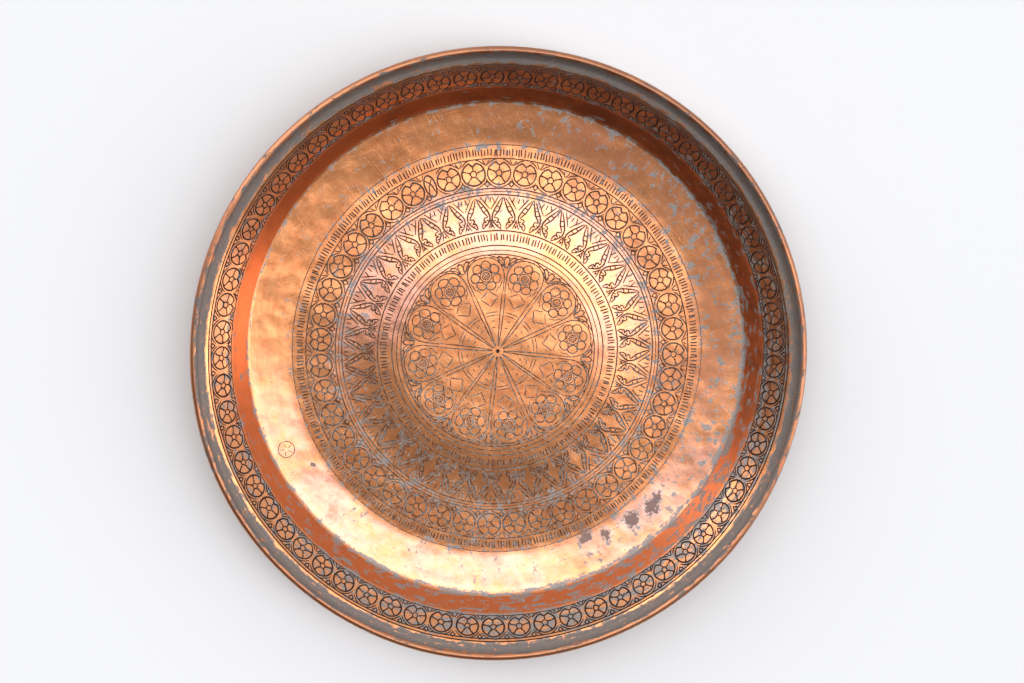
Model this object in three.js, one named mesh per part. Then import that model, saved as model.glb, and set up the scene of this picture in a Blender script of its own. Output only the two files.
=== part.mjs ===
// Hammered copper tray: one disc of copper raised into a shallow dish, with its edge rolled over a
// hoop of iron wire. Millimetres, +Z up. The origin is the centre of the flat ring that it rests on.
import * as THREE from "three";

// Driving dimensions.
const RIM_DIAMETER = 460; // across the outside of the rolled edge
const HEIGHT = 42; // from the table to the top of the rolled edge
const SHEET = 1.1; // thickness of the copper
const WIRE = 2.6; // diameter of the iron wire
const WIRE_PLAY = 0.5; // all round the wire, inside the roll
const WIRE_END_GAP = 2.5; // between the two butted ends of the hoop
const WIRE_JOIN = 205; // degrees from +X to the middle of that gap

const ROLL_OPENING = 62; // degrees of the circle round the wire that the rolled edge leaves open
const ROLL_RISE = 46; // degrees by which the sheet turns up before it goes over the wire
const ROLL_BEND = 1.3; // radius of that turn
const LEDGE = 10.2; // width of the plain ledge inside the rolled edge, along its slope
const LEDGE_SLOPE = 24; // degrees above level
const BORDER = 21.4; // width of the engraved border, along its slope
const BORDER_SLOPE = 44; // degrees above level
const WALL_SLOPE = 57; // degrees above level
const COVE = 32; // width of the plain cove between the wall and the resting ring
const COVE_RISE = 3.2; // by which the cove climbs to the wall
const REST = 36; // width of the flat resting ring
const BOSS_FALL = 54; // width over which the raised middle falls to the resting ring
const BOSS_HEIGHT = 2.4; // of the raised middle above the resting ring

const LIP_BEND = 3; // bend radii, at the middle of the sheet: ledge to engraved border
const SHOULDER_BEND = 6; // engraved border to wall
const FOOT_BEND = 4.5; // wall to cove
const PUNCH_RADIUS = 1.2; // the mark that the compasses turned on, at the centre
const PUNCH_DEPTH = 0.6;

const SIDES = 72; // flats round the tray
const FALL_STEPS = 4; // straight steps in the fall of the raised middle
const BEND_STEP = 26; // degrees of turn in each straight step of a bend
const ROLL_STEP = 34; // the same in the rolled edge
const WIRE_SIDES = 8;

const degrees = THREE.MathUtils.degToRad;
const at = (x, y) => new THREE.Vector2(x, y);
const heading = (angle) => at(Math.cos(angle), Math.sin(angle));

// Points on an arc about a centre, from one angle to another, in steps of at most the one given.
function arc(centre, radius, from, to, step) {
  const count = Math.max(1, Math.ceil(Math.abs(to - from) / step));
  const points = [];
  for (let i = 0; i <= count; i++) {
    points.push(heading(from + ((to - from) * i) / count).multiplyScalar(radius).add(centre));
  }
  return points;
}

// The bend of one radius that joins the line into a corner to the line out of it.
function bend(before, corner, after, radius) {
  const into = corner.clone().sub(before).normalize();
  const out = after.clone().sub(corner).normalize();
  const turn = Math.atan2(into.cross(out), into.dot(out));
  const side = Math.sign(turn);
  const start = corner.clone().addScaledVector(into, -radius * Math.tan(Math.abs(turn) / 2));
  const centre = start.clone().add(at(-into.y, into.x).multiplyScalar(side * radius));
  const from = Math.atan2(start.y - centre.y, start.x - centre.x);
  return arc(centre, radius, from, from + turn, degrees(BEND_STEP));
}

// The middle of the sheet as a line in the (radius, height) plane, from the axis to the rolled edge.
const rollRadius = WIRE / 2 + WIRE_PLAY + SHEET / 2;
const wireCentre = at(
  RIM_DIAMETER / 2 - rollRadius - SHEET / 2,
  HEIGHT - rollRadius - SHEET / 2,
);

function sheetLine() {
  const ledge = heading(degrees(LEDGE_SLOPE));
  const climb = degrees(LEDGE_SLOPE + ROLL_RISE);

  // Round the wire, from where the sheet has turned up to its free edge below.
  const rollStart = climb + Math.PI / 2;
  const rollEnd = rollStart - 2 * Math.PI + degrees(ROLL_OPENING);
  const roll = arc(wireCentre, rollRadius, rollStart, rollEnd, degrees(ROLL_STEP));

  // The turn up from the ledge, which ends where the roll starts.
  const turnCentre = roll[0].clone().addScaledVector(heading(rollStart), ROLL_BEND);
  const turnFrom = degrees(LEDGE_SLOPE) - Math.PI / 2;
  const turnUp = arc(turnCentre, ROLL_BEND, turnFrom, climb - Math.PI / 2, degrees(BEND_STEP));

  // Down from the ledge to the floor, corner by corner.
  const lip = turnUp[0].clone().addScaledVector(ledge, -LEDGE);
  const shoulder = lip.clone().addScaledVector(heading(degrees(BORDER_SLOPE)), -BORDER);
  const footHeight = SHEET / 2 + COVE_RISE;
  const wallWidth = (shoulder.y - footHeight) / Math.tan(degrees(WALL_SLOPE));
  const foot = at(shoulder.x - wallWidth, footHeight);
  const restOuter = at(foot.x - COVE, SHEET / 2);
  const restInner = at(restOuter.x - REST, SHEET / 2);

  // The fall of the raised middle is half a cosine wave, level at both ends.
  const bossRadius = restInner.x - BOSS_FALL;
  const fall = [];
  for (let i = 0; i < FALL_STEPS; i++) {
    const share = i / FALL_STEPS;
    const lift = (BOSS_HEIGHT * (1 + Math.cos(Math.PI * share))) / 2;
    fall.push(at(bossRadius + BOSS_FALL * share, restInner.y + lift));
  }
  return [
    at(0, restInner.y + BOSS_HEIGHT),
    ...fall,
    restInner,
    restOuter,
    ...bend(restOuter, foot, shoulder, FOOT_BEND),
    ...bend(foot, shoulder, lip, SHOULDER_BEND),
    ...bend(shoulder, lip, turnUp[0], LIP_BEND),
    ...turnUp,
    ...roll.slice(1),
  ];
}

// A line moved sideways by a distance, to its left where that is positive, with mitred corners.
function offset(line, distance) {
  return line.map((point, i) => {
    const into = point.clone().sub(line[Math.max(i - 1, 0)]).normalize();
    const out = line[Math.min(i + 1, line.length - 1)].clone().sub(point).normalize();
    if (i === 0) into.set(1, 0);
    if (i === 0) out.set(1, 0);
    if (i === line.length - 1) out.copy(into);
    const along = into.clone().add(out).normalize();
    const reach = distance / along.dot(into);
    return point.clone().add(at(-along.y, along.x).multiplyScalar(reach));
  });
}

function trayBody() {
  const line = sheetLine();
  const [centre, ...face] = offset(line, SHEET / 2);
  const punch = [at(PUNCH_RADIUS, centre.y), at(0, centre.y - PUNCH_DEPTH)];
  const profile = [...offset(line, -SHEET / 2), ...face.reverse(), ...punch];
  return new THREE.LatheGeometry(profile, SIDES).rotateX(Math.PI / 2);
}

// The hoop's centre line, from one butted end round to the other.
class Hoop extends THREE.Curve {
  getPoint(share, target = new THREE.Vector3()) {
    const gap = WIRE_END_GAP / wireCentre.x;
    const angle = degrees(WIRE_JOIN) + gap / 2 + share * (2 * Math.PI - gap);
    return target.set(wireCentre.x * Math.cos(angle), wireCentre.x * Math.sin(angle), wireCentre.y);
  }
}

function rimWire() {
  const rim = [];
  for (let i = 0; i < WIRE_SIDES; i++) {
    rim.push(heading((2 * Math.PI * i) / WIRE_SIDES).multiplyScalar(WIRE / 2));
  }
  const section = new THREE.Shape(rim);
  const options = { extrudePath: new Hoop(), steps: SIDES, bevelEnabled: false };
  return new THREE.ExtrudeGeometry(section, options);
}

function piece(name, geometry, material) {
  const mesh = new THREE.Mesh(geometry, new THREE.MeshStandardMaterial(material));
  mesh.name = name;
  return mesh;
}

const tray = new THREE.Group();
tray.add(piece("tray_body", trayBody(), { color: 0xc9764a, roughness: 0.34, metalness: 1 }));
tray.add(piece("rim_wire", rimWire(), { color: 0x4a4440, roughness: 0.6, metalness: 1 }));

export default tray;
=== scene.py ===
"""The hammered and engraved copper tray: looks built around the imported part."""

import math
import random

import bmesh
import bpy
import numpy as np
from mathutils import Matrix, Vector, noise


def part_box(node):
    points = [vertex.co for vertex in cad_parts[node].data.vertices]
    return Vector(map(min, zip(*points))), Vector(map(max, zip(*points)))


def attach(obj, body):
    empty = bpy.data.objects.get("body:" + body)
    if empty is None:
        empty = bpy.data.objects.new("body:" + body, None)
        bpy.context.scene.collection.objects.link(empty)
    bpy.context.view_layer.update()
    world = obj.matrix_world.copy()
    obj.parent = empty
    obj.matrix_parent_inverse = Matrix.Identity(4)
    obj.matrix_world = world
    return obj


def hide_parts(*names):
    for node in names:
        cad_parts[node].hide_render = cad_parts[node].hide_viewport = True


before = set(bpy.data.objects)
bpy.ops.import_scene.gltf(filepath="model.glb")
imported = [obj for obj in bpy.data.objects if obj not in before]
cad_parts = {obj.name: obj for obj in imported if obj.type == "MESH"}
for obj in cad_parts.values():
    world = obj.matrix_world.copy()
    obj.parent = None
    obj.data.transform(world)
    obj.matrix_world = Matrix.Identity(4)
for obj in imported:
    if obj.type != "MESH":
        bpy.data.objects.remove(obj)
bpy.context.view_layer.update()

MM = 0.001
TURN = 2 * math.pi
rng = random.Random(7)

low, high = (Vector(corner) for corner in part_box("tray_body"))
RIM_RADIUS = (high.x - low.x) / 2 / MM
HEIGHT = high.z / MM


# Camera: in front of the open side, a little above the tray's axis and to its left.
CAMERA_DISTANCE = 1.855  # from the middle of the rim, in metres
CAMERA_RISE = 8.9  # degrees off the axis
CAMERA_SWING = 3.2
CAMERA_AIM = (0.0085, 0.0129)  # from the middle of the rim, in metres
LENS = 88


def aim(obj, target, up):
    back = (obj.location - Vector(target)).normalized()
    right = Vector(up).cross(back).normalized()
    obj.rotation_euler = Matrix((right, back.cross(right), back)).transposed().to_euler()


def add_camera():
    camera = bpy.data.objects.new("camera", bpy.data.cameras.new("camera"))
    bpy.context.scene.collection.objects.link(camera)
    rise, swing = math.radians(CAMERA_RISE), math.radians(CAMERA_SWING)
    toward = Vector((-math.sin(swing), math.sin(rise), 1.0)).normalized()
    rim_middle = Vector((0, 0, high.z))
    camera.location = rim_middle + toward * CAMERA_DISTANCE
    aim(camera, rim_middle + Vector((*CAMERA_AIM, 0)), (0, 1, 0))
    camera.data.lens = LENS
    camera.data.sensor_width = 36
    camera.data.clip_start = 0.05
    bpy.context.scene.camera = camera


add_camera()


# The section of the sheet, in millimetres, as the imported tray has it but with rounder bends.
SHEET = 1.1
WIRE_RADIUS = 1.3
WIRE_PLAY = 0.5
ROLL_RADIUS = WIRE_RADIUS + WIRE_PLAY + SHEET / 2
WIRE_CENTRE = Vector((RIM_RADIUS - ROLL_RADIUS - SHEET / 2, HEIGHT - ROLL_RADIUS - SHEET / 2))
ROLL_OPENING = math.radians(62)
ROLL_RISE = math.radians(46)
ROLL_BEND = 1.3
LEDGE, LEDGE_SLOPE = 10.2, math.radians(24)
LEDGE_SWELL = 0.55  # of the ridge above the plain ledge, and of the channel below it
BORDER, BORDER_SLOPE = 21.4, math.radians(44)
WALL_SLOPE = math.radians(57)
COVE, COVE_RISE = 32, 3.2
REST = 36
BOSS_FALL, BOSS_HEIGHT = 54, 2.4
LIP_BEND, SHOULDER_BEND, FOOT_BEND, COVE_BEND = 3, 6, 4.5, 90
PUNCH_RADIUS, PUNCH_DEPTH = 1.1, 0.7

SIDES = 144  # faces round the tray
ROW = 7.0  # the longest step between two rows of faces
BACK_ROW = 11.0  # the same under the tray
FALL_STEPS = 12
LEDGE_STEPS = 8
BEND_STEP = math.radians(9)
COVE_STEP = math.radians(2)
ROLL_STEP = math.radians(20)
TURN_UP_STEP = math.radians(16)


def heading(angle):
    return Vector((math.cos(angle), math.sin(angle)))


def arc(centre, radius, start, end, step):
    count = max(1, math.ceil(abs(end - start) / step))
    return [centre + heading(start + (end - start) * i / count) * radius for i in range(count + 1)]


def bend(before, corner, after, radius, step=BEND_STEP):
    into, out = (corner - before).normalized(), (after - corner).normalized()
    turn = math.atan2(into.cross(out), into.dot(out))
    start = corner - into * radius * math.tan(abs(turn) / 2)
    centre = start + Vector((-into.y, into.x)) * math.copysign(radius, turn)
    first = math.atan2(start.y - centre.y, start.x - centre.x)
    return arc(centre, radius, first, first + turn, step)


def sheet_line():
    """The middle of the sheet from the axis to its free edge, as points of (radius, height)."""
    quarter = math.pi / 2
    climb = LEDGE_SLOPE + ROLL_RISE
    start = climb + quarter
    roll = arc(WIRE_CENTRE, ROLL_RADIUS, start, start - TURN + ROLL_OPENING, ROLL_STEP)
    turn_centre = roll[0] + heading(start) * ROLL_BEND
    turn_up = arc(turn_centre, ROLL_BEND, LEDGE_SLOPE - quarter, climb - quarter, TURN_UP_STEP)
    lip = turn_up[0] - heading(LEDGE_SLOPE) * LEDGE
    shoulder = lip - heading(BORDER_SLOPE) * BORDER
    foot_height = SHEET / 2 + COVE_RISE
    foot = Vector((shoulder.x - (shoulder.y - foot_height) / math.tan(WALL_SLOPE), foot_height))
    rest_outer = Vector((foot.x - COVE, SHEET / 2))
    rest_inner = Vector((rest_outer.x - REST, SHEET / 2))
    boss_radius = rest_inner.x - BOSS_FALL
    ledge = []
    for i in range(1, LEDGE_STEPS):
        along = turn_up[0].lerp(lip, 1 - i / LEDGE_STEPS)
        swell = LEDGE_SWELL * math.sin(TURN * i / LEDGE_STEPS)
        ledge.append(along + heading(LEDGE_SLOPE + quarter) * swell)
    fall = []
    for i in range(FALL_STEPS):
        share = i / FALL_STEPS
        lift = BOSS_HEIGHT * (1 + math.cos(math.pi * share)) / 2
        fall.append(Vector((boss_radius + BOSS_FALL * share, rest_inner.y + lift)))
    corners = [
        Vector((0, rest_inner.y + BOSS_HEIGHT)),
        *fall,
        rest_inner,
        *bend(rest_inner, rest_outer, foot, COVE_BEND, COVE_STEP),
        *bend(rest_outer, foot, shoulder, FOOT_BEND),
        *bend(foot, shoulder, lip, SHOULDER_BEND),
        *bend(shoulder, lip, turn_up[0], LIP_BEND)[:-1],
        *ledge,
        *turn_up,
    ]
    stations = {"foot": foot.x, "shoulder": shoulder.x, "lip": lip.x, "channel": turn_up[0].x}
    return corners, roll[1:], stations


def stepped(line, longest):
    points = [line[0]]
    for a, b in zip(line, line[1:]):
        count = max(1, math.ceil((b - a).length / longest))
        points += [a.lerp(b, (i + 1) / count) for i in range(count)]
    return points


def offset(line, distance):
    """The line moved to its left, with mitred corners."""
    moved = []
    for i, point in enumerate(line):
        into = (point - line[i - 1]).normalized() if i else Vector((1, 0))
        out = (line[i + 1] - point).normalized() if i + 1 < len(line) else into
        if not i:
            out = into
        along = (into + out).normalized()
        moved.append(point + Vector((-along.y, along.x)) * distance / along.dot(into))
    return moved


open_part, roll_part, STATION = sheet_line()
face_line = offset(stepped(open_part, ROW) + roll_part, SHEET / 2)
back_line = offset(stepped(open_part, BACK_ROW) + roll_part, -SHEET / 2)

# The upper face as a rule for unrolling it: distance along the sheet, against radius and height.
FINE_STEP = 1.0
fine = [Vector((0, face_line[0].y))] + offset(stepped(open_part, FINE_STEP), SHEET / 2)[1:]
face_r = np.array([point.x for point in fine])
face_z = np.array([point.y for point in fine])
face_run = np.concatenate([[0], np.cumsum(np.hypot(np.diff(face_r), np.diff(face_z)))])
slope = np.arctan2(np.gradient(face_z, face_run), np.gradient(face_r, face_run))


def run_at(radius):
    """How far along the sheet a radius lies."""
    return float(np.interp(radius, face_r, face_run))


def on_sheet(flat):
    """Lays points of the flat drawing (x, y, height above it) on the tray's upper face."""
    run, angle = np.hypot(flat[:, 0], flat[:, 1]), np.arctan2(flat[:, 1], flat[:, 0])
    tilt = np.interp(run, face_run, slope)
    radius = np.interp(run, face_run, face_r) - flat[:, 2] * np.sin(tilt)
    height = np.interp(run, face_run, face_z) + flat[:, 2] * np.cos(tilt)
    return np.stack([radius * np.cos(angle), radius * np.sin(angle), height], axis=1)


# The unevenness that the hammer left in the sheet.
OVAL = 0.002  # by which the tray is longer one way and shorter the other
BROAD_DENT, BROAD_WIDTH = 0.45, 70
SMALL_DENT, SMALL_WIDTH = 0.15, 23
OUTLINE_SWELL = 0.9  # of the rim outward and inward
RIM_WARP = 0.8  # of the rim up and down


def hand_worked(points):
    """Moves points, in millimetres, as the hammer left them."""
    moved = points.copy()
    for i, (x, y, z) in enumerate(points):
        place = Vector((x, y, 0.0))
        share = place.length / RIM_RADIUS
        dents = BROAD_DENT * noise.noise(place / BROAD_WIDTH)
        dents += SMALL_DENT * noise.noise(place / SMALL_WIDTH + Vector((9, 4, 2)))
        dents *= min(1.0, 0.35 + 1.9 * share)  # the middle was struck least
        around = place.normalized() * 1.6
        swell = OUTLINE_SWELL * noise.noise(around + Vector((3, 8, 5))) * share**3 / RIM_RADIUS
        warp = RIM_WARP * noise.noise(around * 1.3 + Vector((7, 1, 6))) * share**4
        moved[i] = (x * (1 + swell - OVAL), y * (1 + swell + OVAL), max(z + dents + warp, 0.0))
    return moved


def coordinates(mesh):
    points = np.empty(len(mesh.vertices) * 3)
    mesh.vertices.foreach_get("co", points)
    return points.reshape(-1, 3)


def set_coordinates(mesh, points):
    mesh.vertices.foreach_set("co", points.astype(np.float32).ravel())
    mesh.update()


def add_object(name, data):
    obj = bpy.data.objects.new(name, data)
    bpy.context.scene.collection.objects.link(obj)
    return obj


MERGE = 1e-4


def raise_sheet():
    """The tray before it is engraved: its section spun about the axis, then worked by hand."""
    punch = [Vector((PUNCH_RADIUS, face_line[0].y)), Vector((0, face_line[0].y - PUNCH_DEPTH))]
    outline = back_line + face_line[:0:-1] + punch
    bm = bmesh.new()
    corners = [bm.verts.new((point.x, 0, point.y)) for point in outline]
    edges = [bm.edges.new(pair) for pair in zip(corners, corners[1:])]
    bmesh.ops.spin(
        bm, geom=corners + edges, cent=(0, 0, 0), axis=(0, 0, 1), dvec=(0, 0, 0),
        angle=TURN, steps=SIDES, use_merge=True, use_duplicate=False,
    )
    bmesh.ops.remove_doubles(bm, verts=bm.verts, dist=MERGE)
    bmesh.ops.recalc_face_normals(bm, faces=bm.faces)
    mesh = bpy.data.meshes.new("tray")
    bm.to_mesh(mesh)
    bm.free()
    set_coordinates(mesh, hand_worked(coordinates(mesh)))
    return add_object("tray", mesh)


# The engraver's drawing, in millimetres, on the sheet laid flat. A stroke is a list of points, whether
# it closes on itself, and the graver's width at each point against its full width.
strokes = []
GRAVER_WIDTH, GRAVER_DEPTH = 1.22, 0.48
ENDS = 0.45  # the width where the graver goes in and comes out, against the middle of the stroke
SHAKE = 0.07  # of the hand, at each point


def stroke(points, closed=False, width=1.0, ends=ENDS):
    shares = np.linspace(0, 1, len(points))
    swell = np.ones(len(points)) if closed else np.sin(np.pi * shares).clip(0) ** 0.6
    strokes.append((np.array(points, dtype=float), closed, width * (ends + (1 - ends) * swell)))


def smooth(points):
    """The curve that passes through the points, with one more point half-way to each next one."""
    given = [Vector(point) for point in points]
    last = len(given) - 1
    curve = []
    for i in range(last):
        a, b, c, d = (given[min(max(k, 0), last)] for k in range(i - 1, i + 3))
        square, cube = a * 2 - b * 5 + c * 4 - d, b * 3 - a - c * 3 + d
        for t in (0, 0.5):
            curve.append(tuple((b * 2 + (c - a) * t + square * t**2 + cube * t**3) / 2))
    return curve + [tuple(given[-1])]


def ellipse(x, y, half_across, half_out, turn=0.0, count=8, start=0.0, end=TURN):
    points = []
    closed = end - start == TURN
    cos, sin = math.cos(turn), math.sin(turn)
    for i in range(count if closed else count + 1):
        angle = start + (end - start) * i / count
        u, v = half_across * math.cos(angle), half_out * math.sin(angle)
        points.append((x + u * cos - v * sin, y + u * sin + v * cos))
    return points


class Place:
    """A spot on the flat drawing: across runs clockwise round the tray, out runs from its middle."""

    def __init__(self, radius, angle, turn=0.0, size=1.0):
        self.run = run_at(radius)
        self.stretch = self.run / radius
        self.angle, self.turn, self.size = angle, turn, size

    def draw(self, points, closed=False, width=1.0, ends=ENDS, shake=SHAKE):
        out, across = heading(self.angle), heading(self.angle - math.pi / 2)
        cos, sin = math.cos(self.turn) * self.size, math.sin(self.turn) * self.size
        placed = []
        for x, y in points:
            x, y = x + rng.gauss(0, shake), y + rng.gauss(0, shake)
            u, v = x * cos - y * sin, x * sin + y * cos
            placed.append(out * (self.run + v) + across * u * self.stretch)
        stroke(placed, closed, width * rng.uniform(0.88, 1.12), ends)


def ring(radius, width, count):
    """A line all round the tray, cut freehand along a compass mark."""
    run = run_at(radius)
    points = []
    for i in range(count):
        angle = TURN * i / count
        around = Vector((6 * math.cos(angle), 6 * math.sin(angle), radius))
        wander = 0.25 * noise.noise(around)
        points.append(heading(angle) * (run + wander))
    stroke(points, True, width)


def hatching(inner, outer, count):
    """A ring of short strokes that point at the tray's middle."""
    start, end = run_at(inner), run_at(outer)
    for i in range(count):
        angle = TURN * (i + rng.uniform(-0.2, 0.2)) / count
        a, b = start + rng.uniform(-0.3, 0.9), end + rng.uniform(-0.9, 0.3)
        slant = rng.gauss(0, 0.35) / end
        line = [heading(angle) * a, heading(angle + slant) * b]
        stroke(line, False, rng.uniform(0.8, 1.05), 0.95)


PETALS = 5
STAMP_SPOKES = 5


def turned(points, out):
    """The same figure, pointing out from the tray's middle (1) or in towards it (-1)."""
    return [(x, out * y) for x, y in points]


def on_side(points, side):
    """The same figure (1), or its mirror image from left to right (-1)."""
    return [(side * x, y) for x, y in points]


def rosette(place, out):
    """A ring with a notch on one side, round petals like pebbles, inside a plain strap."""
    heart = ellipse(0, 0, 8.5, 8.4, 0, 15, math.radians(110), math.radians(430))
    place.draw(turned([(0, 5.6), *heart[::-1]], out), True, 1.05)
    for side in (1, -1):
        for start, end in ((34, 78), (-24, -86)):
            strap = ellipse(0, 0, 10.3, 10.3, 0, 4, math.radians(start), math.radians(end))
            place.draw(turned(on_side(strap, side), out), False, 0.85)
    place.draw(turned([(0, 4.9), (0, 2.8)], out), False, 0.95, 0.9)
    for i in range(1, PETALS):
        groove = heading(math.pi / 2 + TURN * i / PETALS)
        line = turned([groove * 2.7, groove * 5.1, groove * 7.8], out)
        place.draw(line, False, 0.72, 1.75, 0.16)
    place.draw(turned(ellipse(0, 0, 2.3, 2.4, count=6), out), True, 0.8, shake=0.14)


def between_rosettes(place, reach, out):
    """A lozenge on one side of the gap between two rosettes, and a V on the other."""
    middle = -(reach - 1.7)
    lozenge = [(0, middle - 1.9), (1.8, middle), (0, middle + 2.2), (-1.8, middle)]
    place.draw(turned(lozenge, out), True, 0.8)
    for side in (-1, 1):
        arm = on_side([(0.3, reach - 4.2), (2.5, reach - 0.2)], side)
        place.draw(turned(arm, out), False, 0.9, 0.8)


def rosette_band(radius, count, out, reach, gap_angle, first, size):
    pitch = (TURN - gap_angle) / count
    for i in range(count):
        angle = first + gap_angle / 2 + pitch * (i + 0.5) + rng.gauss(0, 0.0012)
        rosette(Place(radius, angle, rng.gauss(0, 0.07), size * rng.uniform(0.97, 1.01)), out)
        between_rosettes(Place(radius, first + gap_angle / 2 + pitch * i), reach, out)
    if gap_angle:
        filler = Place(radius, first)
        filler.draw(ellipse(0, 0, 4.2, 8.4, count=14), True)
        filler.draw(smooth([(-2.6, 5.4), (0.9, 0.6), (2.2, -5.8)]))
        filler.draw(smooth([(2.8, 4.8), (-1.0, -0.4), (-2.4, -5.4)]))


def palmette_band(radius, count):
    """Pointed arches side by side, each round a blossom with a long tip and two curled leaves."""
    half = math.pi * radius / count
    tip = ((0.3, 11.8), (1.7, 6.6), (3.7, 1.4), (5.8, -1.3), (7.2, -3.6))
    arch = ((1.5, 11.2), (4.4, 6.6), (7.2, 1.6), (8.6, -3.0), (7.6, -6.8), (4.8, -9.8), (1.8, -12.2))
    leaf = ((7.0, -3.9), (4.6, -3.8), (3.7, -5.4), (4.9, -7.1), (3.2, -7.2), (2.2, -9.0), (1.7, -11.4))
    strap_above = ((3.8, 12.4), (6.7, 7.4), (half - 0.3, 2.4))
    strap_below = ((half - 0.3, -5.4), (8.5, -8.4), (6.6, -12.0))
    long = (
        (tip, 1.1),
        (smooth(arch), 1.05),
        (smooth(leaf), 1.05),
        (strap_above, 0.95),
        (strap_below, 0.95),
    )
    short = (
        ((2.9, 4.3), (5.0, 4.9)),
        ((4.5, 0.9), (6.9, 1.6)),
        ((5.6, -5.4), (7.4, -6.6)),
        ((3.4, -8.9), (5.2, -9.2)),
        ((6.9, 8.1), (8.4, 11.6)),
        ((half - 1.4, -9.6), (half - 0.3, -11.4)),
    )
    for i in range(count):
        angle = TURN * i / count + rng.gauss(0, 0.002)
        place = Place(radius, angle, rng.gauss(0, 0.02), rng.uniform(0.98, 1.01))
        for side in (1, -1):
            for points, width in long:
                place.draw(on_side(points, side), False, width, 0.6)
            for points in short:
                place.draw(on_side(points, side), False, 0.85, 0.9)
        Place(radius, TURN * (i + 0.5) / count).draw([(0.4, 11.6), (-0.2, 7.8)], False, 0.8, 0.9)


def flower(place, petals):
    """A cross-hatched eye in a plain ring, with petals like pebbles packed round it."""
    place.draw(ellipse(0, 0, 2.9, 2.9, count=10), True, 0.8)
    place.draw(ellipse(0, 0, 4.5, 4.5, count=12), True, 0.75)
    for lean in (0.6, 2.2):
        for aside in (-1.5, 0, 1.5):
            half = math.sqrt(2.5**2 - aside**2)
            across, along = heading(lean) * aside, heading(lean + math.pi / 2) * half
            place.draw([across - along, across + along], False, 0.6, 0.9)
    middle = 8.3  # of a petal, from the flower's own middle
    half = middle * math.pi / petals
    for i in range(petals):
        angle = math.pi / 2 + TURN * i / petals
        length, width = rng.uniform(2.9, 3.3), half * rng.uniform(0.94, 1.02)
        petal = ellipse(*heading(angle) * middle, length, width, angle, 9)
        place.draw(petal, True, 0.95, shake=0.14)


def arched_sector(middle, half):
    """One sector of the medallion, between two straps that meet in an arch over a flower."""
    for side in (-1, 1):
        spoke = middle + side * half
        beside = heading(spoke - side * math.pi / 2) * 1.35
        line = [heading(spoke) * run + beside * min(1, run / 22) for run in (4.2, 16, 30, 44)]
        stroke(line, False, 0.95, 0.7)
    arch, square = Place(58, middle), Place(40, middle)
    inner = ((10.6, -14.6), (12.8, -6.5), (13.9, 0.5), (12.2, 7.4), (7.2, 12.0), (0.4, 13.8))
    outer = ((15.0, 3.2), (13.6, 8.6), (8.8, 13.0), (3.0, 15.0))
    for side in (-1, 1):
        arch.draw(on_side(smooth(inner), side), False, 0.95, 0.7)
        arch.draw(on_side(smooth(outer), side), False, 0.9, 0.6)
        arch.draw(on_side([(8.6, -11.4), (10.6, -7.6), (12.2, -4.6)], side), False, 0.8)
        arch.draw(on_side([(5.8, -12.8), (8.6, -9.6)], side), False, 0.8, 0.8)
        square.draw(on_side([(6.4, 0.2), (3.2, -2.6), (0.2, -5.8)], side), False, 1.0, 0.7)
        square.draw(on_side([(6.6, 1.2), (3.4, 3.4), (0.8, 5.6)], side), False, 0.85, 0.6)
    for radius in (27.4, 29.8):
        margin = 2.2 / radius
        angles = [middle - half + margin + 2 * (half - margin) * j / 3 for j in range(4)]
        stroke([heading(angle) * radius for angle in angles], False, 0.85)
    for radius in (18.2, 23.2):
        Place(radius, middle).draw([(-1.1, 0), (1.1, 0.1)], False, 1.0, 0.8)
    flower(Place(57.6, middle, rng.gauss(0, 0.1)), rng.choice((6, 7)))


MEDALLION_WIDTH = 0.78  # its cuts are finer than the others


def medallion(sectors, first):
    """Straps run out from the middle like spokes, with a flower in each sector and buds between them."""
    half = math.pi / sectors
    earlier = len(strokes)
    for i in range(sectors):
        arched_sector(first + 2 * half * i + rng.gauss(0, 0.008), half)
        bud = Place(67.4, first + half * (2 * i + 1))
        bud.draw(ellipse(0, 0.4, 2.1, 4.4, 0, 9), True, 0.9)
        for side in (-1, 1):
            bud.draw(ellipse(side * 4.3, 1.0, 1.8, 4.2, -side * 0.7, 9), True, 0.9)
    for _, _, widths in strokes[earlier:]:
        widths *= MEDALLION_WIDTH


def stamp(place):
    """The small mark of a ring round a few spokes, in the plain cove."""
    place.draw(ellipse(0, 0, 6.3, 6.3, count=14), True, 0.6)
    for i in range(STAMP_SPOKES):
        spoke = heading(TURN * i / STAMP_SPOKES)
        place.draw([spoke * 1.4, spoke * 4.9], False, 0.5, 0.9)


BORDER_MIDDLE = (STATION["shoulder"] + STATION["lip"]) / 2

# Plain rings, each by its radius and the width of its cut.
BAND_RINGS = (
    (71.2, 0.45), (73.4, 0.75), (76.6, 0.6), (80.2, 0.8), (91.2, 0.9),
    (118.2, 0.9), (120.6, 0.5), (122.9, 0.9), (145.2, 0.8), (155.6, 0.5),
)
BORDER_RINGS = (
    (STATION["shoulder"] + 0.8, 0.6), (STATION["lip"] - 0.4, 0.9), (STATION["lip"] + 1.4, 0.8),
)

medallion(12, math.radians(9))
for radius, width in BAND_RINGS:
    ring(radius, width, 110)
hatching(83.6, 89.2, 224)
hatching(147.0, 152.6, 400)
palmette_band(104.6, 33)
rosette_band(134.4, 43, 1, 10.0, math.radians(3.9), math.radians(112), 1.03)
rosette_band(BORDER_MIDDLE, 65, -1, 10.3, 0, 0, 1.0)
for radius, width in BORDER_RINGS:
    ring(radius, width, 150)
stamp(Place(176.7, math.radians(204.7)))


CELL = 1.5  # of the grid that tells which strokes come near each other
CELL_STEP = 0.9  # between the points at which a stroke's cell is looked up


def cells_along(points, closed):
    """The cells of the grid that a stroke goes through."""
    line = np.vstack([points, points[:1]]) if closed else points
    cells = set()
    for a, b in zip(line, line[1:]):
        count = 2 + int(np.hypot(*(b - a)) / CELL_STEP)
        cells.update(map(tuple, np.floor(np.linspace(a, b, count) / CELL).astype(int).tolist()))
    return cells


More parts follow.
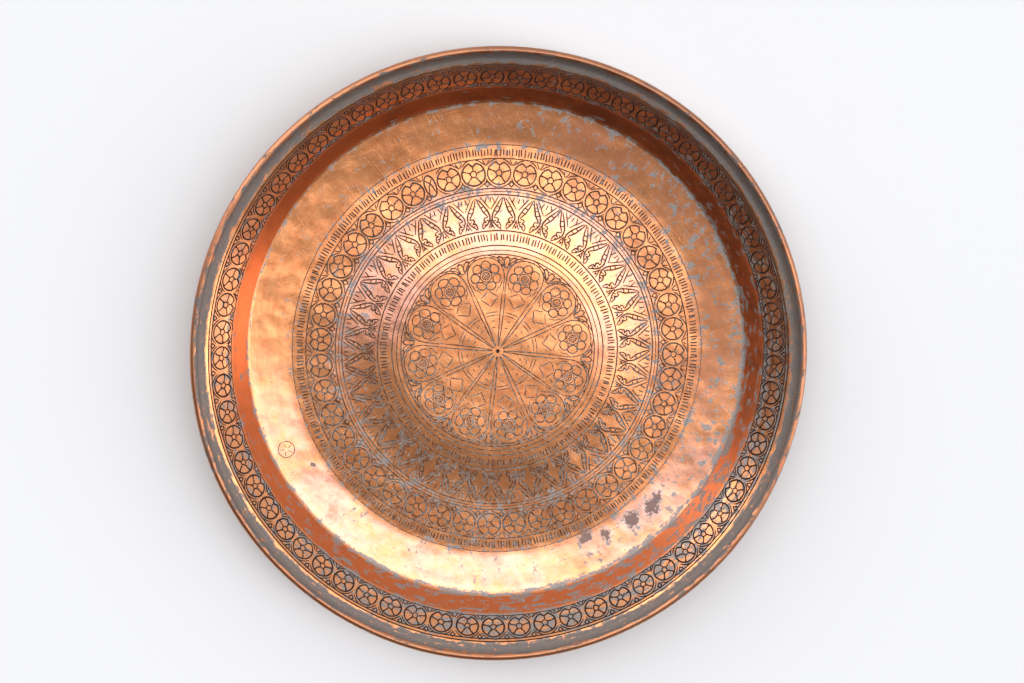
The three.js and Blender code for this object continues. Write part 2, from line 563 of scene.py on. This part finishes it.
def in_passes():
    """Sorts the strokes into passes in which no two touch, because cutters that overlap spoil a cut."""
    taken, passes = {}, []
    for points, closed, widths in strokes:
        cells = cells_along(points, closed)
        used = set()
        for x, y in cells:
            for dx in (-1, 0, 1):
                for dy in (-1, 0, 1):
                    used |= taken.get((x + dx, y + dy), set())
        number = next(n for n in range(len(passes) + 1) if n not in used)
        if number == len(passes):
            passes.append([])
        passes[number].append((points, closed, widths))
        for cell in cells:
            taken.setdefault(cell, set()).add(number)
    return passes


def evaluated_mesh(obj):
    """The object's mesh with its modifiers or its curve worked out."""
    return bpy.data.meshes.new_from_object(obj.evaluated_get(bpy.context.evaluated_depsgraph_get()))


def graver_point():
    """The graver's section: a V in the metal, and straight sides above it."""
    depth, clear, top = GRAVER_DEPTH, 0.12, 0.4
    wide = GRAVER_WIDTH / 2 * (depth + clear) / depth
    curve = bpy.data.curves.new("graver", "CURVE")
    spline = curve.splines.new("POLY")
    outline = [(0, -depth), (-wide, clear), (-wide, top), (wide, top), (wide, clear)]
    spline.points.add(len(outline) - 1)
    for point, (x, y) in zip(spline.points, outline):
        point.co = (x, y, 0, 1)
    spline.use_cyclic_u = True
    return bpy.data.objects.new("graver", curve)


def cutters(one_pass, graver):
    """The solids that the graver sweeps out along the strokes of one pass."""
    curve = bpy.data.curves.new("strokes", "CURVE")
    curve.dimensions, curve.fill_mode = "2D", "NONE"
    curve.bevel_mode, curve.bevel_object, curve.use_fill_caps = "OBJECT", graver, True
    for points, closed, widths in one_pass:
        spline = curve.splines.new("POLY")
        spline.points.add(len(points) - 1)
        for point, (x, y), width in zip(spline.points, points, widths):
            point.co, point.radius = (x, y, 0, 1), width
        spline.use_cyclic_u = closed
    swept = add_object("swept", curve)
    mesh = evaluated_mesh(swept)
    bpy.data.objects.remove(swept)
    bm = bmesh.new()
    bm.from_mesh(mesh)
    bmesh.ops.remove_doubles(bm, verts=bm.verts, dist=MERGE)
    if bm.calc_volume(signed=True) < 0:
        bmesh.ops.reverse_faces(bm, faces=bm.faces)
    bm.to_mesh(mesh)
    bm.free()
    set_coordinates(mesh, hand_worked(on_sheet(coordinates(mesh))))
    return add_object("cutters", mesh)


def engrave(tray, cut):
    graver = graver_point()
    for one_pass in in_passes():
        tool = cutters(one_pass, graver)
        tool.data.materials.clear()
        tool.data.materials.append(cut)
        carve = tray.modifiers.new("carve", "BOOLEAN")
        carve.operation, carve.solver, carve.object = "DIFFERENCE", "MANIFOLD", tool
        carve.material_mode = "TRANSFER"
        carved = evaluated_mesh(tray)
        tray.modifiers.remove(carve)
        tray.data = carved
        bpy.data.objects.remove(tool)


# Materials. Every effect that two of them use is a node group, given the object's own coordinates.
def add_node(tree, kind, inputs=(), **settings):
    """Adds a node. Inputs maps a socket to a value, or to the socket that feeds it."""
    node = tree.nodes.new(kind)
    for name, value in settings.items():
        setattr(node, name, value)
    for key, value in dict(inputs).items():
        if isinstance(value, bpy.types.NodeSocket):
            tree.links.new(value, node.inputs[key])
        else:
            node.inputs[key].default_value = value
    return node


def maths(tree, operation, a, b):
    return add_node(tree, "ShaderNodeMath", {0: a, 1: b}, operation=operation).outputs[0]


def plus(tree, a, b):
    return maths(tree, "ADD", a, b)


def minus(tree, a, b):
    return maths(tree, "SUBTRACT", a, b)


def times(tree, a, b):
    return maths(tree, "MULTIPLY", a, b)


def larger(tree, a, b):
    return maths(tree, "MAXIMUM", a, b)


def weighed(tree, *parts):
    """The sum of some values, each given with its weight."""
    total = 0.0
    for value, weight in parts:
        total = plus(tree, total, times(tree, value, weight))
    return total


def vectors(tree, operation, a, b=(0, 0, 0)):
    node = add_node(tree, "ShaderNodeVectorMath", {0: a, 1: b}, operation=operation)
    return node.outputs["Value" if operation in ("LENGTH", "DOT_PRODUCT", "DISTANCE") else "Vector"]


def scaled(tree, vector, factor):
    inputs = {0: vector, "Scale": factor}
    return add_node(tree, "ShaderNodeVectorMath", inputs, operation="SCALE").outputs["Vector"]


def step_up(tree, value, low, high):
    """0 below low, 1 above high, and a smooth rise between them. The limits may be sockets."""
    inputs = {"Value": value, "From Min": low, "From Max": high}
    return add_node(tree, "ShaderNodeMapRange", inputs, interpolation_type="SMOOTHSTEP").outputs["Result"]


def falling(tree, value, low, high):
    """1 below low, 0 above high, and a smooth fall between them."""
    return minus(tree, 1.0, step_up(tree, value, low, high))


def within(tree, value, inner, outer):
    """1 between two soft limits, each of them a pair of values, and 0 outside them."""
    return times(tree, step_up(tree, value, *inner), falling(tree, value, *outer))


def mixed(tree, factor, a, b):
    """Two colours mixed."""
    return add_node(tree, "ShaderNodeMix", {0: factor, 6: a, 7: b}, data_type="RGBA").outputs[2]


def between(tree, factor, a, b):
    """Two values mixed."""
    return add_node(tree, "ShaderNodeMix", {0: factor, 2: a, 3: b}, data_type="FLOAT").outputs[0]


def clouds(tree, vector, scale, detail=3.0, roughness=0.55, distortion=0.0):
    inputs = {"Vector": vector, "Scale": scale, "Detail": detail, "Roughness": roughness}
    inputs["Distortion"] = distortion
    return add_node(tree, "ShaderNodeTexNoise", inputs).outputs["Fac"]


def ramp(tree, factor, stops):
    node = add_node(tree, "ShaderNodeValToRGB", {"Fac": factor})
    elements = node.color_ramp.elements
    while len(elements) < len(stops):
        elements.new(1.0)
    for element, (position, value) in zip(elements, stops):
        element.position = position
        element.color = (*value, 1) if isinstance(value, tuple) else (value, value, value, 1)
    return node.outputs["Color"]


def new_group(name, inputs, outputs):
    group = bpy.data.node_groups.new(name, "ShaderNodeTree")
    for label, kind in inputs:
        group.interface.new_socket(label, in_out="INPUT", socket_type=f"NodeSocket{kind}")
    for label, kind in outputs:
        group.interface.new_socket(label, in_out="OUTPUT", socket_type=f"NodeSocket{kind}")
    return group, group.nodes.new("NodeGroupInput").outputs, group.nodes.new("NodeGroupOutput")


def feed(tree, node, sockets):
    """Links each named input of a node to the socket that feeds it."""
    for label, socket in sockets.items():
        tree.links.new(socket, node.inputs[label])


effects = {}


def use(tree, effect, vector, **inputs):
    """Places an effect in a tree, and returns what it puts out."""
    inputs["Vector"] = vector
    return add_node(tree, "ShaderNodeGroup", inputs, node_tree=effects[effect]).outputs


def rgb(red, green, blue):
    return (red, green, blue, 1)


ORANGE_COPPER = rgb(0.83, 0.35, 0.145)
RED_COPPER = rgb(0.77, 0.27, 0.10)
# Partly the pale of a worn tin wash, partly painted highlight colour.
WASH_AND_HIGHLIGHT_COPPER = rgb(0.80, 0.455, 0.385)
BORDER_COPPER = rgb(0.60, 0.28, 0.14)
WALL_COPPER = rgb(0.66, 0.24, 0.10)
BROWN_COPPER = rgb(0.40, 0.17, 0.085)
BEAD_COPPER = rgb(0.30, 0.135, 0.085)
SCRATCHED_COPPER = rgb(0.90, 0.50, 0.28)
TIN = rgb(0.28, 0.315, 0.31)
DARK_TIN = rgb(0.18, 0.195, 0.19)
CHANNEL_TIN = rgb(0.085, 0.092, 0.086)
OXIDE = rgb(0.19, 0.115, 0.095)
# Nearly black, painted into the centre-punch mark.
PUNCH_BLACK = rgb(0.03, 0.02, 0.02)

# The tray's zones, each with its soft limits as shares of the rim's radius.
BOSS_FALL_ZONE = (0.30, 0.33), (0.53, 0.56)
COVE_ZONE = (0.67, 0.70), (0.80, 0.83)
WALL_ZONE = (0.805, 0.825), (0.868, 0.885)
BORDER_ZONE = (0.885, 0.90), (0.93, 0.94)
WALL_AND_BORDER_ZONE = (0.80, 0.83), (0.93, 0.95)
OUTER_ZONE = (0.60, 0.82), (0.93, 0.95)
BEAD_START = (0.944, 0.955)
CHANNEL_START = (0.93, 0.955)
STREAKS_START = (0.78, 0.83)
PUNCH_END = (0.0056, 0.0078)


def make_tray_place():
    """Where a point lies on the tray: millimetres, radius, and vectors that follow its rings and rays."""
    outputs = (
        ("Point", "Vector"), ("Radius", "Float"), ("Share", "Float"),
        ("Direction", "Vector"), ("Around", "Vector"), ("Outward", "Vector"),
    )
    group, given, out = new_group("tray_place", (("Vector", "Vector"),), outputs)
    point = scaled(group, given["Vector"], 1 / MM)
    flat = vectors(group, "MULTIPLY", point, (1, 1, 0))
    radius = vectors(group, "LENGTH", flat)
    direction = vectors(group, "NORMALIZE", flat)
    share = maths(group, "DIVIDE", radius, RIM_RADIUS)
    feed(group, out, {"Point": point, "Radius": radius, "Share": share, "Direction": direction})
    # How fast a pattern changes round the tray, and how fast outward.
    for label, round_scale, out_scale in (("Around", 19.0, 0.50), ("Outward", 60.0, 0.085)):
        inputs = {"Z": times(group, radius, out_scale)}
        rise = add_node(group, "ShaderNodeCombineXYZ", inputs).outputs[0]
        feed(group, out, {label: vectors(group, "ADD", scaled(group, direction, round_scale), rise)})
    return group


# How much of the old tinning is left, by radius in millimetres: it stays in the creases.
TIN_LEFT = (
    (0, 0.40), (60, 0.43), (90, 0.44), (110, 0.50), (118, 0.60), (125, 0.60), (129, 0.45),
    (150, 0.46), (155, 0.62), (159, 0.49), (172, 0.48), (184, 0.48), (187.5, 0.73), (190, 0.58),
    (192.5, 0.52), (197, 0.52), (199.5, 0.60), (201.5, 0.80), (204, 0.60), (209, 0.56), (214, 0.63),
    (216.5, 0.50), (219.5, 0.86), (224.5, 0.86), (226.3, 0.56), (230, 0.50),
)
MORE_TIN_SIDE = (0.98, 0.2, 0)
MORE_TIN_LOW_SIDE = (0.45, -0.9, 0)


def make_tin():
    """Grey remnants of tinning, in streaks round the tray, smears outward and worn patches."""
    inputs = (("Vector", "Vector"), ("More", "Float"))
    group, given, out = new_group("tin_remnants", inputs, (("Mask", "Float"),))
    place = use(group, "tray_place", given["Vector"])
    share = place["Share"]
    stops = [(min(1.0, radius / RIM_RADIUS), amount) for radius, amount in TIN_LEFT]
    left = ramp(group, share, stops)
    side = vectors(group, "DOT_PRODUCT", place["Direction"], MORE_TIN_SIDE)
    side = times(group, side, within(group, share, *OUTER_ZONE))
    low_side = minus(group, vectors(group, "DOT_PRODUCT", place["Direction"], MORE_TIN_LOW_SIDE), 0.15)
    sided = between(group, within(group, share, *WALL_AND_BORDER_ZONE), side, low_side)
    streaks = clouds(group, place["Around"], 1.0, 4.0, 0.6)
    smears = clouds(group, place["Outward"], 1.0, 3.0, 0.55)
    patches = clouds(group, place["Point"], 0.16, 5.0, 0.7, 0.6)
    spotted = weighed(group, (patches, 0.72), (smears, 0.28))
    lined = weighed(group, (streaks, 0.65), (patches, 0.35))
    worn = between(group, step_up(group, share, *STREAKS_START), spotted, lined)
    amount = plus(group, weighed(group, (left, 1.0), (sided, 0.11)), given["More"])
    limit = minus(group, 0.80, times(group, amount, 0.48))
    feed(group, out, {"Mask": step_up(group, worn, limit, plus(group, limit, 0.045))})
    return group


def make_blot():
    """A spot with a ragged edge, and a wider halo."""
    inputs = (("Vector", "Vector"), ("Place", "Vector"), ("Size", "Float"))
    group, given, out = new_group("blot", inputs, (("Mask", "Float"), ("Halo", "Float")))
    point = use(group, "tray_place", given["Vector"])["Point"]
    flat = vectors(group, "MULTIPLY", point, (1, 1, 0))
    away = maths(group, "DIVIDE", vectors(group, "DISTANCE", flat, given["Place"]), given["Size"])
    ragged = weighed(group, (away, 1.0), (clouds(group, point, 0.24, 4.0, 0.65), 2.4))
    feed(group, out, {"Mask": falling(group, ragged, 1.72, 1.90), "Halo": falling(group, ragged, 1.95, 2.3)})
    return group


# The side towards which painted shade makes the copper browner.
SHADE_SIDE = (0.72, 0.69, 0)


def make_copper_tone():
    """Bare copper under its patina: orange where it is rubbed, red and brown where it isn't, with a pale
    tint that is partly painted highlight and more brown on the upper right that is painted shade.
    """
    inputs = (("Vector", "Vector"), ("Tarnish", "Float"))
    group, given, out = new_group("copper_tone", inputs, (("Color", "Color"), ("Dull", "Float")))
    place = use(group, "tray_place", given["Vector"])
    share = place["Share"]
    broad = clouds(group, place["Point"], 0.021, 3.0, 0.6, 0.4)
    rubbed = clouds(group, place["Around"], 0.6, 3.0, 0.6)
    mottle = clouds(group, place["Point"], 0.13, 5.0, 0.68)
    redness = step_up(group, weighed(group, (broad, 0.5), (rubbed, 0.5)), 0.40, 0.66)
    colour = mixed(group, redness, ORANGE_COPPER, RED_COPPER)

    # A pale tint on the lower side of the cove and on the upper side of the raised middle's fall, where the
    # bright side is reflected: partly a worn tin wash, partly painted highlight that pales the reflections
    # there.
    up = vectors(group, "DOT_PRODUCT", place["Direction"], (0, 1, 0))
    cove = times(group, within(group, share, *COVE_ZONE), falling(group, up, -0.6, 0.2))
    fall = times(group, within(group, share, *BOSS_FALL_ZONE), step_up(group, up, -0.4, 0.5))
    wash_and_highlight = step_up(group, weighed(group, (mottle, 0.4), (broad, 0.6)), 0.36, 0.60)
    wash_and_highlight = times(group, wash_and_highlight, larger(group, cove, fall))
    colour = mixed(group, times(group, wash_and_highlight, 0.6), colour, WASH_AND_HIGHLIGHT_COPPER)

    border = within(group, share, *BORDER_ZONE)
    wall = within(group, share, *WALL_ZONE)
    colour = mixed(group, times(group, border, 0.55), colour, BORDER_COPPER)
    colour = mixed(group, times(group, wall, 0.75), colour, WALL_COPPER)

    # Painted shade: the outer part is painted browner towards the upper right, added to the random tarnish
    # of the clouds below.
    side = step_up(group, vectors(group, "DOT_PRODUCT", place["Direction"], SHADE_SIDE), 0.1, 1.0)
    side = times(group, side, step_up(group, share, 0.45, 0.75))
    brown = plus(group, weighed(group, (broad, 0.55), (mottle, 0.45), (side, 0.19)), given["Tarnish"])
    brown = step_up(group, brown, 0.53, 0.74)
    colour = mixed(group, times(group, brown, 0.8), colour, BROWN_COPPER)

    bead = step_up(group, share, *BEAD_START)
    colour = mixed(group, times(group, bead, 0.62), colour, BEAD_COPPER)
    dull = larger(group, larger(group, brown, border), larger(group, wall, bead))
    feed(group, out, {"Color": colour, "Dull": dull})
    return group


def make_hammering():
    """The height of shallow, overlapping hammer blows."""
    inputs = (("Vector", "Vector"), ("Blows", "Float"))
    group, given, out = new_group("hammering", inputs, (("Height", "Float"),))
    point = use(group, "tray_place", given["Vector"])["Point"]
    inputs = {"Vector": point, "Scale": given["Blows"], "Smoothness": 0.45, "Randomness": 1.0}
    dents = add_node(group, "ShaderNodeTexVoronoi", inputs, feature="SMOOTH_F1").outputs["Distance"]
    ripple = clouds(group, point, times(group, given["Blows"], 0.9), 2.0, 0.5)
    feed(group, out, {"Height": weighed(group, (dents, 0.7), (ripple, 0.6))})
    return group


def make_scratches():
    """Fine scratches from scouring, mostly round the tray, and small pits."""
    outputs = (("Scratches", "Float"), ("Pits", "Float"))
    group, given, out = new_group("scratches", (("Vector", "Vector"),), outputs)
    place = use(group, "tray_place", given["Vector"])
    scoured = clouds(group, vectors(group, "MULTIPLY", place["Around"], (1, 1, 4)), 1.0, 3.0, 0.6)
    scratches = times(group, step_up(group, scoured, 0.56, 0.74), 0.6)
    for turn in (0.3, 1.25, 2.2):
        inputs = {"Vector": place["Point"], "Rotation": (0, 0, turn), "Scale": (26.0, 0.55, 5.0)}
        stretched = add_node(group, "ShaderNodeMapping", inputs, vector_type="TEXTURE").outputs[0]
        line = step_up(group, clouds(group, stretched, 1.0, 2.0, 0.5), 0.66, 0.74)
        scratches = larger(group, scratches, line)
    inputs = {"Vector": place["Point"], "Scale": 0.055, "Randomness": 1.0}
    cells = add_node(group, "ShaderNodeTexVoronoi", inputs).outputs
    chance = add_node(group, "ShaderNodeSeparateColor", {"Color": cells["Color"]}).outputs[0]
    size = times(group, chance, 0.085)
    pits = falling(group, cells["Distance"], minus(group, size, 0.03), size)
    feed(group, out, {"Scratches": scratches, "Pits": pits})
    return group


effects["tray_place"] = make_tray_place()
effects["tin_remnants"] = make_tin()
effects["blot"] = make_blot()
effects["copper_tone"] = make_copper_tone()
effects["hammering"] = make_hammering()
effects["scratches"] = make_scratches()

# Dark spots on the face, each by its place in millimetres and its size.
OXIDE_SPOTS = (
    ((67, -146, 0), 7.0), ((82.5, -142.5, 0), 6.0), ((103, -132.5, 0), 9.0), ((118, -122, 0), 8.5),
    ((123, -113.5, 0), 5.0), ((-140, -86, 0), 2.4),
)


def new_material(name, **settings):
    """A material, its node tree, its shader and the object's coordinates. Settings are even all over."""
    material = bpy.data.materials.new(name)
    material.use_nodes = True
    tree = material.node_tree
    shader = tree.nodes["Principled BSDF"]
    for label, value in settings.items():
        shader.inputs[label.replace("_", " ").title()].default_value = value
    return material, tree, shader, add_node(tree, "ShaderNodeTexCoord").outputs["Object"]


def bumped(tree, shader, heights):
    """Adds bumps, each a height, the distance in metres that it stands for, and its strength."""
    normal = None
    for height, distance, strength in heights:
        inputs = {"Height": height, "Distance": distance, "Strength": strength}
        if normal:
            inputs["Normal"] = normal
        normal = add_node(tree, "ShaderNodeBump", inputs).outputs["Normal"]
    tree.links.new(normal, shader.inputs["Normal"])


def tin_colour(tree, share, grain):
    """The grey of the tinning, darker with dirt in the channel and on the bead."""
    colour = mixed(tree, step_up(tree, grain, 0.35, 0.68), TIN, DARK_TIN)
    return mixed(tree, times(tree, step_up(tree, share, *CHANNEL_START), 0.8), colour, CHANNEL_TIN)


def make_copper(name, blows, blow_depth, tarnish, more_tin, spots):
    """The sheet, with hammer blows of a size and a depth in metres. Only the face has spots."""
    material, tree, shader, vector = new_material(name)
    place = use(tree, "tray_place", vector)
    tone = use(tree, "copper_tone", vector, Tarnish=tarnish)
    tin = use(tree, "tin_remnants", vector, More=more_tin)["Mask"]
    marks = use(tree, "scratches", vector)
    hammered = use(tree, "hammering", vector, Blows=blows)["Height"]
    grain = clouds(tree, place["Point"], 0.7, 4.0, 0.7)
    tinned = tin_colour(tree, place["Share"], grain)
    colour = mixed(tree, times(tree, tin, 0.86), tone["Color"], tinned)
    dark = times(tree, marks["Pits"], 0.75)
    for spot, size in spots:
        blot = use(tree, "blot", vector, Place=spot, Size=size)
        colour = mixed(tree, times(tree, blot["Halo"], 0.5), colour, TIN)
        dark = larger(tree, dark, blot["Mask"])
    colour = mixed(tree, times(tree, dark, 0.85), colour, OXIDE)
    if spots:
        # The mark that the compasses left at the centre, painted nearly black.
        colour = mixed(tree, falling(tree, place["Share"], *PUNCH_END), colour, PUNCH_BLACK)
    colour = mixed(tree, times(tree, marks["Scratches"], 0.18), colour, SCRATCHED_COPPER)
    rough = weighed(tree, (tin, 0.22), (tone["Dull"], 0.13), (grain, 0.07), (dark, 0.25))
    feed(tree, shader, {
        "Base Color": colour,
        "Metallic": minus(tree, 1.0, weighed(tree, (tin, 0.42), (dark, 0.6))),
        "Roughness": plus(tree, rough, 0.165),
    })
    relief = minus(tree, times(tree, tin, 0.5), plus(tree, marks["Pits"], marks["Scratches"]))
    bumped(tree, shader, (
        (hammered, blow_depth, 1.0),
        (relief, 0.00003, 0.4),
        (grain, 0.00003, 0.4),
    ))
    return material


def make_cut_copper():
    """The walls of the cuts: dark with old patina, or silted with tin and polish."""
    material, tree, shader, vector = new_material("cut_copper")
    place = use(tree, "tray_place", vector)
    tin = use(tree, "tin_remnants", vector, More=0.05)["Mask"]
    up = vectors(tree, "DOT_PRODUCT", place["Point"], (0, 1, 0))
    lower = falling(tree, up, -60.0, 30.0)
    middle = falling(tree, place["Radius"], 66.0, 72.0)
    on_floor = falling(tree, place["Radius"], 185.0, 190.0)
    silt = step_up(tree, clouds(tree, place["Point"], 0.3, 4.0, 0.65), 0.42, 0.58)
    silt = times(tree, silt, plus(tree, weighed(tree, (lower, 0.45), (middle, 0.30)), 0.25))
    silt = times(tree, larger(tree, silt, times(tree, tin, 0.45)), on_floor)
    patina = clouds(tree, place["Point"], 0.9, 2.0)
    patina = mixed(tree, patina, rgb(0.13, 0.065, 0.042), rgb(0.27, 0.125, 0.065))
    patina = mixed(tree, on_floor, rgb(0.075, 0.044, 0.033), patina)
    grain = clouds(tree, place["Point"], 2.4, 3.0, 0.6)
    feed(tree, shader, {
        "Base Color": mixed(tree, silt, patina, rgb(0.33, 0.35, 0.335)),
        "Metallic": minus(tree, 0.85, times(tree, silt, 0.4)),
        "Roughness": plus(tree, 0.48, times(tree, grain, 0.2)),
    })
    bumped(tree, shader, ((grain, 0.00008, 0.6),))
    return material


def make_iron():
    """The hoop's dull iron, with rust."""
    material, tree, shader, vector = new_material("hoop_iron", metallic=0.7)
    point = use(tree, "tray_place", vector)["Point"]
    rust = step_up(tree, clouds(tree, point, 0.25, 4.0, 0.65), 0.42, 0.62)
    feed(tree, shader, {
        "Base Color": mixed(tree, rust, rgb(0.055, 0.05, 0.047), rgb(0.17, 0.075, 0.04)),
        "Roughness": plus(tree, 0.45, times(tree, rust, 0.3)),
    })
    bumped(tree, shader, ((clouds(tree, point, 1.2, 3.0), 0.0001, 0.6),))
    return material


copper = make_copper("tray_copper", 0.07, 0.00028, 0.0, 0.0, OXIDE_SPOTS)
copper_back = make_copper("tray_copper_back", 0.075, 0.0011, 0.10, -0.30, ())
cut_copper = make_cut_copper()
iron = make_iron()


def add_tray():
    tray = raise_sheet()
    tray.data.materials.append(copper)
    tray.data.materials.append(copper_back)
    for face in tray.data.polygons:
        outside = face.center.xy.length < STATION["channel"] and face.normal.z < 0
        face.material_index = 1 if outside else 0
    engrave(tray, cut_copper)
    tray.data.transform(Matrix.Scale(MM, 4))
    tray.data.shade_smooth()
    tray.data.set_sharp_from_angle(angle=math.radians(25))
    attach(tray, "root")
    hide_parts("tray_body")


WIRE_JOIN = math.radians(205)
WIRE_END_GAP = 2.5
WIRE_SIDES, WIRE_STEPS = 12, 144


def add_rim_wire():
    """The hoop of iron wire inside the rolled edge, its two ends butted."""
    gap = WIRE_END_GAP / WIRE_CENTRE.x
    bm = bmesh.new()
    bmesh.ops.create_circle(bm, cap_ends=True, segments=WIRE_SIDES, radius=WIRE_RADIUS)
    middle = Matrix.Translation((WIRE_CENTRE.x, 0, WIRE_CENTRE.y))
    stand = middle @ Matrix.Rotation(math.pi / 2, 4, "X")
    start = Matrix.Rotation(WIRE_JOIN + gap / 2, 4, "Z")
    bmesh.ops.transform(bm, matrix=start @ stand, verts=bm.verts)
    section = bm.verts[:] + bm.edges[:] + bm.faces[:]
    bmesh.ops.spin(
        bm, geom=section, cent=(0, 0, 0), axis=(0, 0, 1), dvec=(0, 0, 0),
        angle=TURN - gap, steps=WIRE_STEPS, use_merge=False, use_duplicate=False,
    )
    bmesh.ops.remove_doubles(bm, verts=bm.verts, dist=MERGE)
    bmesh.ops.recalc_face_normals(bm, faces=bm.faces)
    mesh = bpy.data.meshes.new("rim_hoop")
    bm.to_mesh(mesh)
    bm.free()
    set_coordinates(mesh, hand_worked(coordinates(mesh)))
    mesh.transform(Matrix.Scale(MM, 4))
    hoop = add_object("rim_hoop", mesh)
    mesh.materials.append(iron)
    mesh.shade_smooth()
    mesh.set_sharp_from_angle(angle=math.radians(40))
    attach(hoop, "root")
    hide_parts("rim_wire")


add_tray()
add_rim_wire()


def add_floor():
    bm = bmesh.new()
    bmesh.ops.create_grid(bm, x_segments=1, y_segments=1, size=6)
    mesh = bpy.data.meshes.new("floor")
    bm.to_mesh(mesh)
    bm.free()
    floor = add_object("floor", mesh)
    material = new_material("floor", base_color=rgb(0.80, 0.80, 0.775), roughness=0.85)[0]
    mesh.materials.append(material)


# The light, from straight away from the bright side (0) to straight towards it (1).
BRIGHT_SIDE = (0.42, 0.907, 0)
LIGHT = (
    (0.0, (0.035, 0.031, 0.030)), (0.30, (0.070, 0.068, 0.066)), (0.42, (0.108, 0.107, 0.106)),
    (0.454, (0.124, 0.124, 0.124)), (0.485, (0.92, 0.92, 0.99)), (0.60, (0.92, 0.92, 0.99)),
    (0.70, (0.30, 0.31, 0.32)), (1.0, (0.28, 0.29, 0.31)),
)
LIGHT_STRENGTH = 3.5


def add_studio():
    """Light from all round, with one broad bright side, its edge nearly overhead."""
    world = bpy.data.worlds.new("studio")
    bpy.context.scene.world = world
    world.use_nodes = True
    tree = world.node_tree
    direction = add_node(tree, "ShaderNodeTexCoord").outputs["Generated"]
    toward = vectors(tree, "DOT_PRODUCT", direction, BRIGHT_SIDE)
    inputs = {"Value": toward, "From Min": -1.0, "From Max": 1.0}
    share = add_node(tree, "ShaderNodeMapRange", inputs).outputs["Result"]
    background = tree.nodes["Background"]
    tree.links.new(ramp(tree, share, LIGHT), background.inputs["Color"])
    background.inputs["Strength"].default_value = LIGHT_STRENGTH


add_floor()
add_studio()
bpy.context.scene.view_settings.view_transform = "Standard"
